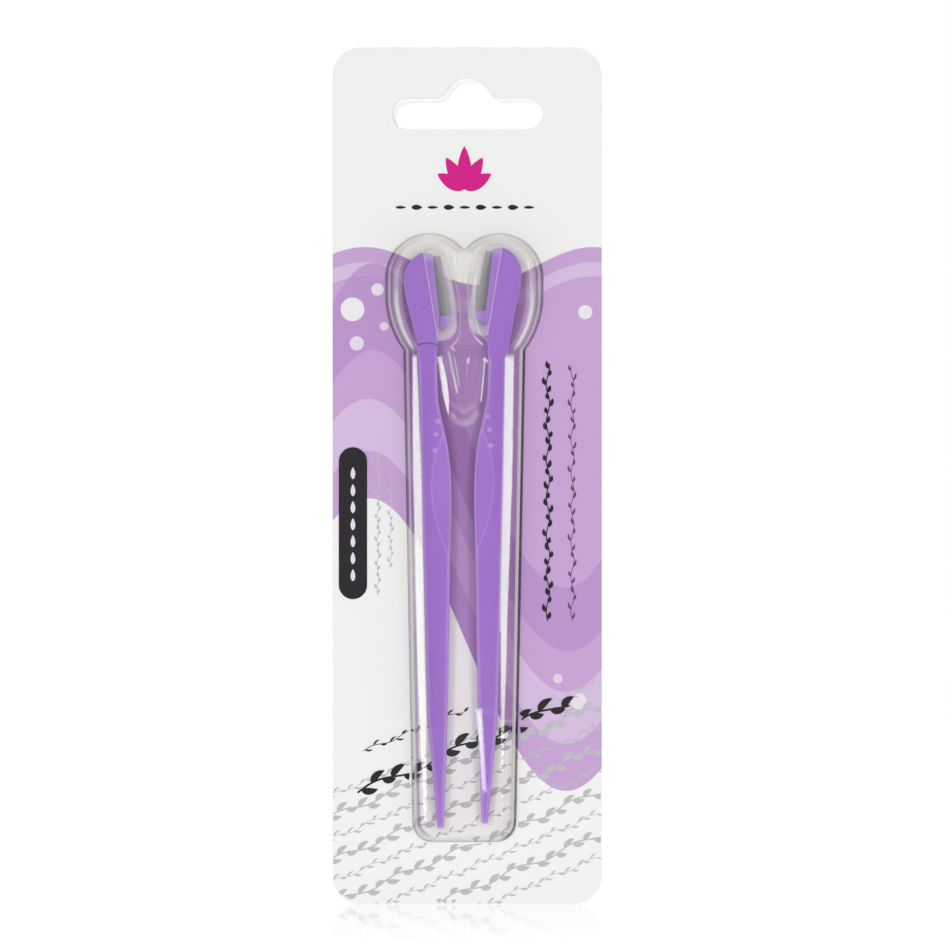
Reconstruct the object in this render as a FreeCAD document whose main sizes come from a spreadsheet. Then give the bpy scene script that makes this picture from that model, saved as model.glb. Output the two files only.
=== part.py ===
import FreeCAD, Part
import os
import re
import Sketcher

# Two eyebrow razors sealed on a hang card. X runs to the right, -Y to the viewer and +Z up.
# The origin is the crown of the hang slot, on the plane where the two plies of card meet.
# Depths are measured from that plane towards the viewer. Lengths are millimetres.

cardSizes = {
    "cardMargin": 11.9,
    "cardBelowBlister": 13.3,
    "cardCorner": 6.0,
    "cardAboveCrown": 6.5,
    "plyThickness": 0.45,
    "slotWidth": 32.0,
    "slotHeight": 6.5,
    "slotDrop": 4.3,
    "crownRadius": 5.0,
    "crownBlend": 2.5,
    "plyShift": 0.9,
}

blisterSizes = {
    "blisterAside": 0.6,
    "blisterDepth": 7.6,
    "filmThickness": 0.3,
    "flangeMargin": 3.5,
    "flangeCorner": 6.0,
    "flangeGap": 0.05,
    "windowGap": 0.15,
    "wallDraft": 15.5,
    "lobeRoom": 4.0,
    "lobeAside": 7.4,
    "lobeLevel": 42.2,
    "lobeDrop": 3.8,
    "notchBlend": 1.0,
    "waistHalf": 12.8,
    "waistRise": 0.9,
    "footHalf": 10.9,
    "footRoom": 2.8,
    "footCorner": 4.2,
    "shoulderRadius": 1.3,
    "valleyHalf": 0.5,
    "valleyFloorHalf": 0.15,
    "valleyDepth": 3.4,
    "islandTopHalf": 3.4,
    "islandRise": 0.3,
    "islandEndHalf": 1.9,
    "islandLength": 13.8,
    "islandDepth": 5.4,
    "islandWall": 1.0,
    "islandRamp": 6.2,
}

razorSizes = {
    "leftNeckAside": 8.41,
    "leftTopRoom": 4.08,
    "rightNeckAside": 6.53,
    "rightTopRoom": 3.03,
    "razorLean": 1.6,
    "razorLift": 0.1,
    "handleLength": 100.4,
    "neckHalf": 2.03,
    "neckThickness": 2.4,
    "gripReach": 4.25,
    "gripThickness": 3.4,
    "tailHalf": 2.14,
    "tailThickness": 2.6,
    "tipHalf": 0.72,
    "tipThickness": 1.4,
    "handleRound": 0.55,
    "scoopLength": 30.7,
    "scoopBulge": 2.95,
    "scoopReach": 0.1,
    "scoopTilt": 12.0,
    "bumpRadius": 0.4,
    "bumpRise": 0.22,
    "headReach": 4.55,
    "headLength": 21.42,
    "headBevel": 0.3,
    "seamLevel": 1.9,
    "seamBulge": 0.5,
    "seamGap": 0.12,
    "bladeThickness": 0.3,
    "bladeBevel": 0.11,
    "stakeRadius": 0.6,
    "stakeGap": 0.03,
    "coverAside": 1.0,
    "coverShift": 1.03,
    "coverTilt": 7.8,
    "coverTopRoom": 0.72,
    "coverFootRise": 2.44,
    "coverRoom": 0.95,
    "coverBelly": 0.4,
    "coverCorner": 3.4,
    "coverNotch": 0.75,
    "coverWall": 0.42,
    "coverGap": 0.12,
    "coverRound": 0.3,
}

generalSizes = {
    "overrun": 1.0,
}

# Sizes that follow from the others: the guards fit round the heads, the lobes round the guards,
# the necks hang below the lobes, the channel ends below the tips and the card goes round it all
followingSizes = {
    "coverLevel": "headLength / 2 + coverShift",
    "coverTopReach": "headLength - coverLevel + coverTopRoom",
    "coverFootReach": "coverLevel - coverFootRise",
    "coverReach": "headReach + coverRoom - coverAside",
    "lobeRadius": "coverTopReach / 2 + lobeRoom",
    "leftNeckLevel": "lobeLevel - lobeRadius + headLength + leftTopRoom",
    "rightNeckLevel": "lobeLevel - lobeRadius + headLength + rightTopRoom",
    "waistLevel": "leftNeckLevel - waistRise",
    "islandTopLevel": "leftNeckLevel - islandRise",
    "islandEndLevel": "islandTopLevel + islandLength",
    "footLevel": "leftNeckLevel + handleLength + footRoom",
    "cardWidth": "2 * (lobeAside + lobeRadius + cardMargin)",
    "cardHeight": "cardAboveCrown + footLevel + cardBelowBlister",
}

# Parts of the quarter turn at which the shoulder of the blister is drawn
shoulderShares = [0.0, 0.35, 0.7, 1.0]

# Sections of the handle, from the neck to the grip: how far down it, how far the inner edge has
# swelled out, and how far it has thickened
gripSectionShares = [
    (0.0, 0.0, 0.0),
    (0.088, 0.0, 0.0),
    (0.102, 0.04, 0.07),
    (0.116, 0.12, 0.15),
    (0.159, 0.5, 0.4),
    (0.18, 0.67, 0.55),
    (0.207, 0.84, 0.75),
    (0.24, 0.96, 0.92),
    (0.279, 1.0, 1.0),
    (0.309, 0.975, 1.0),
]
gripZShare = 0.28
tailZShare = 0.767
tailRoundShares = [(0.6, 1.0), (0.2, 0.86), (0.0, 0.45)]

# Outline of the head, across it in parts of headReach and up it in parts of headLength
headSideShares = [(-0.769, 0.411), (-1.0, 0.719), (-0.079, 1.0), (0.374, 0.978)]
headTopBulgeShare = 0.268
headFlankBulgeShare = 0.056
bladeBackShares = [(0.622, 0.377), (0.604, 0.243)]
bladeShares = [(-0.22, 0.379), (1.121, 0.379), (0.71, 0.966), (-0.352, 0.943)]
heelShares = [(1.167, 0.376), (1.16, 0.32)]
heelRootShare = 0.3
stakeShares = [(-0.05, 0.696), (-0.085, 0.43)]

# The three grip bumps: across in parts of gripReach, down in parts of handleLength, and how far
# the handle has thickened there
bumpShares = [(0.43, 0.142, 0.3), (0.313, 0.169, 0.46), (0.24, 0.203, 0.72)]

doc = FreeCAD.newDocument("EyebrowRazorPack")
sheet = doc.addObject("Spreadsheet::Sheet", "sizes")
row = 0
for group in (cardSizes, blisterSizes, razorSizes, generalSizes):
    for alias, value in group.items():
        row += 1
        sheet.set("A%d" % row, alias)
        sheet.set("B%d" % row, str(value))
        sheet.setAlias("B%d" % row, alias)
for alias, formula in followingSizes.items():
    row += 1
    sheet.set("A%d" % row, alias)
    sheet.set("B%d" % row, "=" + formula)
    sheet.setAlias("B%d" % row, alias)
doc.recompute()

FORMULA_WORDS = {"tan", "sin", "cos", "sqrt", "min", "deg"}


def onSheet(formula):
    """Writes a formula in size names as one that reads the sheet."""
    return re.sub(
        r"[a-z][A-Za-z]*",
        lambda found: found.group() if found.group() in FORMULA_WORDS else "sizes." + found.group(),
        formula,
    )


def valueOf(formula):
    return float(sheet.evalExpression(onSheet(formula)))


def bind(thing, prop, formula):
    thing.setExpression(prop, onSheet(formula))


def originPlane(body, role):
    return [plane for plane in body.Origin.OriginFeatures if plane.Role == role][0]


def newSketch(body, name, depth, role="XZ_Plane"):
    """A sketch parallel to an origin plane, moved along that plane's normal by depth."""
    sketch = body.newObject("Sketcher::SketchObject", name)
    sketch.AttachmentSupport = [(originPlane(body, role), "")]
    sketch.MapMode = "FlatFace"
    bind(sketch, "AttachmentOffset.Base.z", depth)
    return sketch


def line(x, z):
    """The corner (x, z), left by a straight side."""
    return (x, z, None, 1)


def arc(x, z, radius, turn=1):
    """The corner (x, z), left by a round side. It bulges outwards, or inwards where turn is -1."""
    return (x, z, radius, turn)


def bulged(corner, following, bulge, turn=1):
    """An arc from one corner to the next that rises by bulge over its chord."""
    across = "((%s) - (%s))" % (following[0], corner[0])
    along = "((%s) - (%s))" % (following[1], corner[1])
    radius = "(%s^2 + %s^2) / (8 * (%s)) + (%s) / 2" % (across, along, bulge, bulge)
    return arc(corner[0], corner[1], radius, turn)


def drawOutline(sketch, corners, side=1):
    """Draws a closed outline whose corners run anticlockwise, mirrored across Z where side is -1."""
    places = []
    for x, z, radius, turn in corners:
        places.append(FreeCAD.Vector(side * valueOf(x), valueOf(z), 0))
    count = len(corners)
    ends = []
    for index in range(count):
        x, z, radius, turn = corners[index]
        start = places[index]
        end = places[(index + 1) % count]
        segment = Part.LineSegment(start, end)
        ends.append((1, 2))
        if radius is not None:
            size = valueOf(radius)
            chord = end - start
            half = chord.Length / 2
            outward = FreeCAD.Vector(chord.y, -chord.x, 0).normalize() * (turn * side)
            rise = size - max(size * size - half * half, 0) ** 0.5
            middle = (start + end) * 0.5 + outward * rise
            segment = Part.Arc(start, middle, end)
            if turn * side < 0:
                segment = Part.Arc(end, middle, start)
                ends[-1] = (2, 1)
        sketch.addGeometry(segment, False)
    for index in range(count):
        x, z, radius, turn = corners[index]
        following = (index + 1) % count
        sketch.addConstraint(
            Sketcher.Constraint("Coincident", index, ends[index][1], following, ends[following][0])
        )
        for kind, formula, place in (
            ("DistanceX", "%d * (%s)" % (side, x), places[index].x),
            ("DistanceY", z, places[index].y),
        ):
            number = sketch.addConstraint(
                Sketcher.Constraint(kind, -1, 1, index, ends[index][0], place)
            )
            bind(sketch, "Constraints[%d]" % number, formula)
        if radius is not None:
            number = sketch.addConstraint(Sketcher.Constraint("Radius", index, valueOf(radius)))
            bind(sketch, "Constraints[%d]" % number, radius)


def span(low, high, face):
    """The depth where a layer starts and its thickness, seen from the front or from the back."""
    start = low if face > 0 else "-(%s)" % high
    return start, "(%s) - (%s)" % (high, low)


def pad(body, name, corners, low, high, side=1, face=1):
    start, length = span(low, high, face)
    sketch = newSketch(body, name + "Sketch", start)
    drawOutline(sketch, corners, side)
    feature = body.newObject("PartDesign::Pad", name)
    feature.Profile = sketch
    bind(feature, "Length", length)
    doc.recompute()
    return feature


def pocket(body, name, corners, low, high, side=1, face=1, tilt=None):
    before = body.Shape.Volume
    start, length = span(low, high, face)
    sketch = newSketch(body, name + "Sketch", start)
    drawOutline(sketch, corners, side)
    if tilt:
        tilt(sketch, side)
    feature = body.newObject("PartDesign::Pocket", name)
    feature.Profile = sketch
    feature.Reversed = True
    bind(feature, "Length", length)
    doc.recompute()
    if not body.Shape.Volume < before:
        raise RuntimeError("%s cuts nothing" % feature.Name)
    return feature


def loft(body, name, kind, layers, role="XZ_Plane", side=1, tilt=None):
    """A form that passes through several outlines, each at its own depth."""
    before = body.Shape.Volume if body.Tip else 0
    sketches = []
    for number, (corners, depth) in enumerate(layers):
        sketch = newSketch(body, "%sLayer%d" % (name, number), depth, role)
        drawOutline(sketch, corners, side)
        if tilt:
            tilt(sketch, side)
        sketches.append(sketch)
    feature = body.newObject(kind, name)
    feature.Profile = sketches[0]
    feature.Sections = sketches[1:]
    feature.Ruled = True
    doc.recompute()
    if abs(body.Shape.Volume - before) < valueOf("filmThickness"):
        raise RuntimeError("%s changes nothing" % feature.Name)
    return feature


def trimEdges(body, name, kind, base, formula, wanted):
    """Rounds or bevels the edges of the newest feature that the test picks."""
    names = []
    for number, edge in enumerate(base.Shape.Edges, 1):
        if wanted(edge):
            names.append("Edge%d" % number)
    feature = body.newObject(kind, name)
    feature.Base = (base, names)
    bind(feature, "Radius" if kind == "PartDesign::Fillet" else "Size", formula)
    doc.recompute()
    return feature


def roundEdges(body, name, base, radius, wanted):
    return trimEdges(body, name, "PartDesign::Fillet", base, radius, wanted)


def bevelEdges(body, name, base, width, wanted):
    return trimEdges(body, name, "PartDesign::Chamfer", base, width, wanted)


def newBody(label):
    body = doc.addObject("PartDesign::Body", label)
    body.Label = label
    return body


def runsAcross(edge):
    """True for an edge that stands square to the card."""
    first, last = edge.Vertexes[0].Point, edge.Vertexes[-1].Point
    straight = FreeCAD.Vector(last.x - first.x, 0, last.z - first.z).Length
    return len(edge.Vertexes) == 2 and straight < 1e-6 < (last - first).Length


def liesAt(edge, depth):
    """True for an edge whose points all lie at one depth."""
    return all(abs(-point.y - depth) < 1e-4 for point in edge.discretize(5))


def rectangle(left, right, bottom, top):
    return [line(left, bottom), line(right, bottom), line(right, top), line(left, top)]


# The two plies of the card

def slotOutline(aside, drop):
    """The hang slot: a long slot with a round crown that runs into it on two small curves."""
    end = "slotHeight / 2"
    top = "(-slotDrop - (%s))" % drop
    low = "(%s - slotHeight)" % top
    middle = "(%s - slotHeight / 2)" % top
    reach = "(slotWidth / 2)"
    lift = "(crownBlend + crownRadius - slotDrop)"
    flare = "sqrt((crownRadius + crownBlend)^2 - %s^2)" % lift
    part = "(crownRadius / (crownRadius + crownBlend))"
    touchX = "(%s * %s)" % (flare, part)
    touchZ = "(%s * %s - crownRadius - (%s))" % (lift, part, drop)

    def x(formula):
        return "%s + (%s)" % (formula, aside)

    return [
        line(x("-%s + %s" % (reach, end)), low),
        arc(x("%s - %s" % (reach, end)), low, end),
        arc(x(reach), middle, end),
        line(x("%s - %s" % (reach, end)), top),
        arc(x(flare), top, "crownBlend", -1),
        arc(x(touchX), touchZ, "crownRadius"),
        arc(x("0"), "-(%s)" % drop, "crownRadius"),
        arc(x("-" + touchX), touchZ, "crownBlend", -1),
        line(x("-" + flare), top),
        arc(x("-%s + %s" % (reach, end)), top, end),
        arc(x("-" + reach), middle, end),
    ]


def cardPly(label, low, high):
    body = newBody(label)
    outline = rectangle(
        "-cardWidth / 2", "cardWidth / 2", "cardAboveCrown - cardHeight", "cardAboveCrown"
    )
    base = pad(body, label + "Sheet", outline, low, high)
    roundEdges(body, label + "Corners", base, "cardCorner", runsAcross)
    return body


def footprint(inset):
    """The foot of the blister: two round lobes, a waist below them and a long channel, all
    drawn in by inset."""
    side = "(lobeAside + lobeRadius - (%s))" % inset
    join = "(lobeRadius + notchBlend)"
    part = "((lobeRadius - (%s)) / %s)" % (inset, join)
    rise = "sqrt(%s^2 - lobeAside^2)" % join
    touchX = "(lobeAside * (1 - %s))" % part
    touchZ = "(%s * %s - lobeLevel)" % (rise, part)
    lobe = "(lobeRadius - (%s))" % inset
    shoulder = "(-lobeLevel - lobeDrop)"
    flankIn = "(lobeAside + lobeRadius - waistHalf)"
    flankDown = "(waistLevel - lobeLevel - lobeDrop)"
    flank = "(%s^2 + %s^2) / (2 * %s)" % (flankIn, flankDown, flankIn)
    waist = "(waistHalf - (%s))" % inset
    foot = "(footHalf - (%s))" % inset
    corner = "(footCorner - (%s) / 2)" % inset
    floor = "(%s - footLevel)" % inset
    aboveFloor = "(%s + %s)" % (floor, corner)
    return [
        line("-%s + %s" % (foot, corner), floor),
        arc("%s - %s" % (foot, corner), floor, corner),
        line(foot, aboveFloor),
        arc(waist, "-waistLevel", flank),
        line(side, shoulder),
        arc(side, "-lobeLevel", lobe),
        arc(touchX, touchZ, "(notchBlend + (%s))" % inset, -1),
        arc("-" + touchX, touchZ, lobe),
        line("-" + side, "-lobeLevel"),
        arc("-" + side, shoulder, flank),
        line("-" + waist, "-waistLevel"),
        arc("-" + foot, aboveFloor, corner),
    ]


def shifted(corners, aside):
    return [("(%s) + (%s)" % (x, aside), z, radius, turn) for x, z, radius, turn in corners]


flangeHalf = "(lobeAside + lobeRadius + flangeMargin%s)"
flangeTop = "(lobeRadius + flangeMargin%s - lobeLevel)"
flangeFoot = "(-footLevel - flangeMargin%s)"

frontCard = cardPly("card_front", "0", "plyThickness")
pocket(
    frontCard,
    "frontSlot",
    slotOutline("0", "0"),
    "-overrun",
    "plyThickness + overrun",
)
pocket(
    frontCard,
    "blisterWindow",
    shifted(footprint("-windowGap"), "-blisterAside"),
    "-overrun",
    "plyThickness + overrun",
)
pocket(
    frontCard,
    "flangeRecess",
    rectangle(
        "-%s - blisterAside" % (flangeHalf % " + flangeGap"),
        "%s - blisterAside" % (flangeHalf % " + flangeGap"),
        flangeFoot % " - flangeGap",
        flangeTop % " + flangeGap",
    ),
    "-overrun",
    "filmThickness",
)

backCard = cardPly("card_back", "-plyThickness", "0")
pocket(
    backCard,
    "backSlot",
    slotOutline("plyShift", "plyShift"),
    "-plyThickness - overrun",
    "overrun",
)


# The clear blister

def islandOutline(inset, sink):
    """The sunk wedge between the two necks, at a part sink of its depth. Its sides keep parallel
    as it sinks, and its lower end is a ramp."""
    lean = "((islandTopHalf - islandEndHalf) / (islandEndLevel - islandTopLevel))"
    above = "(%s - islandTopLevel - islandWall * (%s))" % (inset, sink)
    below = "(-islandEndLevel - %s + islandRamp * (%s))" % (inset, sink)

    def half(level):
        return "(islandTopHalf + %s - islandWall * (%s) + %s * (%s + islandTopLevel))" % (
            inset,
            sink,
            lean,
            level,
        )

    return [
        line("-" + half(below), below),
        line(half(below), below),
        line(half(above), above),
        line("-" + half(above), above),
    ]


def valleyOutline(half):
    return rectangle(
        "-(%s)" % half,
        half,
        "-islandTopLevel - islandWall",
        "overrun - lobeLevel + lobeRadius",
    )


def blisterForm(name, inset, low, high, round):
    """The solid that the blister is drawn over, made smaller all round by inset. Its walls lean
    in by wallDraft, and then turn over a round shoulder to the flat front."""
    body = newBody(name)
    levels = [low]
    insets = ["%s + (%s) * tan(wallDraft * 1 deg)" % (inset, low)]
    for share in shoulderShares:
        level = "(%s - (%s) * (1 - sin(%s * 90 deg)))" % (high, round, share)
        over = "(%s) * (1 - cos(%s * 90 deg))" % (round, share)
        levels.append(level)
        insets.append("%s + %s * tan(wallDraft * 1 deg) + %s" % (inset, level, over))
    layers = []
    for number in range(len(levels)):
        layers.append((footprint(insets[number]), levels[number]))
    loft(body, name + "Block", "PartDesign::AdditiveLoft", layers)
    past = "overrun / valleyDepth"
    loft(
        body,
        name + "Valley",
        "PartDesign::SubtractiveLoft",
        [
            (valleyOutline("valleyFloorHalf + %s" % inset), "%s - valleyDepth" % high),
            (
                valleyOutline(
                    "valleyHalf + %s + (valleyHalf - valleyFloorHalf) * %s" % (inset, past)
                ),
                "%s + overrun" % high,
            ),
        ],
    )
    loft(
        body,
        name + "Island",
        "PartDesign::SubtractiveLoft",
        [
            (islandOutline(inset, "1"), "%s - islandDepth" % high),
            (islandOutline(inset, "-overrun / islandDepth"), "%s + overrun" % high),
        ],
    )
    return body


outerForm = blisterForm("outerForm", "0", "0", "blisterDepth", "shoulderRadius")
innerForm = blisterForm(
    "innerForm",
    "filmThickness",
    "-overrun",
    "blisterDepth - filmThickness",
    "shoulderRadius - filmThickness",
)
flange = newBody("flangeSheet")
flangeBase = pad(
    flange,
    "flangeLayer",
    rectangle("-" + flangeHalf % "", flangeHalf % "", flangeFoot % "", flangeTop % ""),
    "0",
    "filmThickness",
)
roundEdges(flange, "flangeCorners", flangeBase, "flangeCorner", runsAcross)
cast = doc.addObject("Part::Fuse", "blisterCast")
cast.Base = flange
cast.Tool = outerForm
blister = doc.addObject("Part::Cut", "blisterShell")
blister.Base = cast
blister.Tool = innerForm
blister.Label = "blister_shell"
bind(blister, "Placement.Base.x", "-blisterAside")
doc.recompute()


# The razors. Each is drawn in its own frame: the origin is the middle of the neck, Z runs up the
# handle and X points to the side of the blade. side is -1 where the blade points to -X, and face
# is -1 where the clamp plate is at the back.

def place(share):
    """A point of the head from its two shares."""
    return "headReach * %s" % share[0], "headLength * %s" % share[1]


def section(inner, outer, half, corner):
    """A cross-section of the handle, an oblong with round corners."""
    return [
        line("-(%s) + %s" % (outer, corner), "-(%s)" % half),
        arc("%s - %s" % (inner, corner), "-(%s)" % half, corner),
        line(inner, "-(%s) + %s" % (half, corner)),
        arc(inner, "%s - %s" % (half, corner), corner),
        line("%s - %s" % (inner, corner), half),
        arc("-(%s) + %s" % (outer, corner), half, corner),
        line("-(%s)" % outer, "%s - %s" % (half, corner)),
        arc("-(%s)" % outer, "-(%s) + %s" % (half, corner), corner),
    ]


def handleSections():
    """The sections of the handle from neck to tip, each with its height."""
    sections = []
    for down, swell, bulk in gripSectionShares:
        inner = "(neckHalf + (gripReach - neckHalf) * %s)" % swell
        outer = "(neckHalf + (tailHalf - neckHalf) * %s)" % swell
        half = "((neckThickness + (gripThickness - neckThickness) * %s) / 2)" % bulk
        sections.append((section(inner, outer, half, "handleRound"), "-handleLength * %s" % down))
    sections.append(
        (
            section("tailHalf", "tailHalf", "(tailThickness / 2)", "handleRound"),
            "-handleLength * %s" % tailZShare,
        )
    )
    for rise, share in tailRoundShares:
        wide = "(tipHalf * %s)" % share
        half = "(tipThickness / 2 * %s)" % share
        corner = "(handleRound * %s)" % share
        sections.append((section(wide, wide, half, corner), "tipHalf * %s - handleLength" % rise))
    return sections


def headOutline(foot):
    """The flat head, from its foot up the line where the blade comes out, over the top and down
    the back."""
    back = [place(share) for share in bladeBackShares]
    sides = [place(share) for share in headSideShares]
    return foot + [
        line(back[1][0], back[1][1]),
        line(back[0][0], back[0][1]),
        line(sides[3][0], sides[3][1]),
        bulged(sides[2], sides[1], "headReach * %s" % headTopBulgeShare),
        bulged(sides[1], sides[0], "headReach * %s" % headFlankBulgeShare),
        line(sides[0][0], sides[0][1]),
    ]


def addStakes(body, side, face):
    """The two pins that hold blade and clamp plate on the head."""
    for number, share in enumerate(stakeShares):
        x, z = place(share)
        pad(
            body,
            "%sStake%d" % (body.Name, number),
            ring(x, z, "stakeRadius"),
            "-bladeThickness",
            "neckThickness / 2",
            side,
            face,
        )


def ring(x, z, radius):
    """A circle in four quarter arcs."""
    return [
        arc(x, "%s - %s" % (z, radius), radius),
        arc("%s + %s" % (x, radius), z, radius),
        arc(x, "%s + %s" % (z, radius), radius),
        arc("%s - %s" % (x, radius), z, radius),
    ]


def addBall(body, name, kind, radius, x, z, depth, side):
    ball = body.newObject(kind, name)
    bind(ball, "Radius", radius)
    bind(ball, "Placement.Base.x", "%d * (%s)" % (side, x))
    bind(ball, "Placement.Base.y", "-(%s)" % depth)
    bind(ball, "Placement.Base.z", z)
    doc.recompute()
    return ball


def addScoops(body, side):
    """A hollow for the finger on each face, with three grip bumps in it. Each is part of a large
    ball that meets the face at scoopTilt."""
    flat = "(scoopLength^2 / (8 * scoopBulge) + scoopBulge / 2)"
    ball = "(%s / sin(scoopTilt * 1 deg))" % flat
    away = "(%s * cos(scoopTilt * 1 deg) + gripThickness / 2)" % ball
    x = "(scoopReach + %s)" % flat
    z = "(-handleLength * %s)" % gripZShare
    for front in (1, -1):
        tag = "Front" if front > 0 else "Back"
        addBall(
            body,
            "%sScoop%s" % (body.Name, tag),
            "PartDesign::SubtractiveSphere",
            ball,
            x,
            z,
            "%d * %s" % (front, away),
            side,
        )
        for number, share in enumerate(bumpShares):
            bumpX = "(gripReach * %s)" % share[0]
            bumpZ = "(-handleLength * %s)" % share[1]
            hollow = "%s - sqrt(%s^2 - (%s - %s)^2 - (%s - %s)^2)" % (
                away,
                ball,
                bumpX,
                x,
                bumpZ,
                z,
            )
            flush = "(neckThickness + (gripThickness - neckThickness) * %s) / 2" % share[2]
            centre = "(min(%s; %s) + bumpRise - bumpRadius)" % (hollow, flush)
            addBall(
                body,
                "%sBump%s%d" % (body.Name, tag, number),
                "PartDesign::AdditiveSphere",
                "bumpRadius",
                bumpX,
                bumpZ,
                "%d * %s" % (front, centre),
                side,
            )


def razorHandle(label, side, face):
    """Handle, the back half of the head, the heel under the blade and the two stakes."""
    body = newBody(label)
    loft(body, label + "Bar", "PartDesign::AdditiveLoft", handleSections(), "XY_Plane", side)
    seam = "(seamLevel - seamGap)"
    collar = [
        line("-neckHalf", "-neckHalf"),
        line("neckHalf", "-neckHalf"),
        bulged(("neckHalf", seam), ("-neckHalf", seam), "seamBulge"),
        line("-neckHalf", seam),
    ]
    pad(body, label + "Collar", collar, "-neckThickness / 2", "neckThickness / 2", side)
    addScoops(body, side)
    foot = [line("-neckHalf", "-neckHalf"), line("neckHalf", "-neckHalf")]
    pad(
        body,
        label + "Head",
        headOutline(foot),
        "-neckThickness / 2",
        "-bladeThickness / 2",
        side,
        face,
    )
    heel = [place(share) for share in heelShares]
    back = [place(share) for share in bladeBackShares]
    root = "headReach * %s" % heelRootShare
    outer = [line(heel[1][0], heel[1][1]), line(heel[0][0], heel[0][1])]
    for name, inner in (
        ("HeelRoot", [line(root, heel[0][1]), line(root, back[1][1])]),
        (
            "Heel",
            [
                line("%s + seamGap" % back[0][0], heel[0][1]),
                line("%s + seamGap" % back[1][0], back[1][1]),
            ],
        ),
    ):
        top = "-bladeThickness / 2" if name == "HeelRoot" else "neckThickness / 2"
        pad(body, label + name, outer + inner, "-neckThickness / 2", top, side, face)
    addStakes(body, side, face)
    return body


def headPlate(label, side, face):
    """The clamp plate over the blade, with a hole for each stake."""
    body = newBody(label)
    foot = [
        bulged(("-neckHalf", "seamLevel"), ("neckHalf", "seamLevel"), "seamBulge", -1),
        line("neckHalf", "seamLevel"),
    ]
    plate = pad(
        body, label + "Layer", headOutline(foot), "bladeThickness / 2", "neckThickness / 2", side, face
    )
    outside = valueOf("neckThickness / 2") * face
    bevelEdges(body, label + "Rim", plate, "headBevel", lambda edge: liesAt(edge, outside))
    addStakeHoles(body, "bladeThickness / 2 - overrun", "neckThickness / 2 + overrun", side, face)
    return body


def addStakeHoles(body, low, high, side, face):
    for number, share in enumerate(stakeShares):
        x, z = place(share)
        pocket(
            body,
            "%sHole%d" % (body.Name, number),
            ring(x, z, "(stakeRadius + stakeGap)"),
            low,
            high,
            side,
            face,
        )


def razorBlade(label, side, face):
    """The steel blade, bevelled along its cutting edge."""
    body = newBody(label)
    corners = [place(share) for share in bladeShares]
    outline = [line(x, z) for x, z in corners]
    strip = pad(
        body, label + "Strip", outline, "-bladeThickness / 2", "bladeThickness / 2", side, face
    )
    cuttingEnds = [FreeCAD.Vector(side * valueOf(x), 0, valueOf(z)) for x, z in corners[1:3]]

    def cuts(edge):
        """True for the two long edges that run between the ends of the cutting edge."""
        spots = [FreeCAD.Vector(point.X, 0, point.Z) for point in edge.Vertexes]
        return spots[0] != spots[-1] and all(
            min(spot.distanceToPoint(end) for end in cuttingEnds) < 1e-6 for spot in spots
        )

    bevelEdges(body, label + "Bevel", strip, "bladeBevel", cuts)
    addStakeHoles(body, "-overrun", "overrun", side, face)
    return body


def coverOutline(inset, opening):
    """The round guard over the blade, drawn in by inset except on its straight open side."""
    top = "(coverTopReach - (%s))" % inset
    foot = "(-coverFootReach + (%s))" % inset
    corner = "(coverCorner - (%s))" % inset
    across = "(coverReach - coverCorner)"
    far = "(coverReach - (%s))" % inset
    lower = (far, "%s + %s" % (foot, corner))
    upper = (far, "%s - %s" % (top, corner))
    return [
        line("-(%s)" % opening, foot),
        arc(across, foot, corner),
        bulged(lower, upper, "coverBelly"),
        arc(upper[0], upper[1], corner),
        line(across, top),
        line("-(%s)" % opening, top),
    ]


def alongBlade(sketch, side):
    """Turns a sketch of the cover to the line of the blade."""
    bind(sketch, "AttachmentOffset.Base.x", "%d * coverAside" % side)
    bind(sketch, "AttachmentOffset.Base.y", "coverLevel")
    bind(sketch, "AttachmentOffset.Rotation.Angle", "%d * coverTilt * 1 deg" % side)


def bladeCover(label, side):
    """The clear clip-on guard: a flat pocket with bevelled rims, open on its straight side, with a
    notch at its foot for the neck."""
    body = newBody(label)
    inside = "(neckThickness / 2 + coverGap)"
    outside = "(%s + coverWall)" % inside
    layers = [
        (coverOutline("coverRound", "0"), "-" + outside),
        (coverOutline("0", "0"), "coverRound - " + outside),
        (coverOutline("0", "0"), outside + " - coverRound"),
        (coverOutline("coverRound", "0"), outside),
    ]
    loft(
        body,
        label + "Shell",
        "PartDesign::AdditiveLoft",
        layers,
        side=side,
        tilt=alongBlade,
    )
    hollow = coverOutline("coverWall", "overrun")
    notch = rectangle(
        "-overrun", "coverNotch", "-coverFootReach - overrun", "coverWall - coverFootReach"
    )
    for name, outline in (("Pocket", hollow), ("Notch", notch)):
        pocket(body, label + name, outline, "-" + inside, inside, side=side, tilt=alongBlade)
    return body


pieces = [frontCard, backCard, blister]
for hand, side, face, aside, level in (
    ("left", 1, 1, "-leftNeckAside", "leftNeckLevel"),
    ("right", -1, -1, "rightNeckAside", "rightNeckLevel"),
):
    razor = [
        razorHandle("handle_" + hand, side, face),
        headPlate("head_plate_" + hand, side, face),
        razorBlade("blade_" + hand, side, face),
        bladeCover("blade_cover_" + hand, side),
    ]
    for body in razor:
        bind(body, "Placement.Base.x", aside)
        bind(body, "Placement.Base.y", "-gripThickness / 2 - razorLift")
        bind(body, "Placement.Base.z", "-" + level)
        upright = FreeCAD.Vector(0, -side, 0)
        body.Placement.Rotation = FreeCAD.Rotation(upright, valueOf("razorLean"))
        bind(body, "Placement.Rotation.Angle", "razorLean * 1 deg")
    pieces += razor
doc.recompute()

for thing in doc.Objects:
    if "Invalid" in thing.State or "Error" in thing.State:
        raise RuntimeError("%s failed: %s" % (thing.Name, thing.State))
for thing in pieces:
    if thing.Shape.isNull() or not thing.Shape.isValid() or len(thing.Shape.Solids) != 1:
        raise RuntimeError("%s is not one valid solid" % thing.Label)

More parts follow.
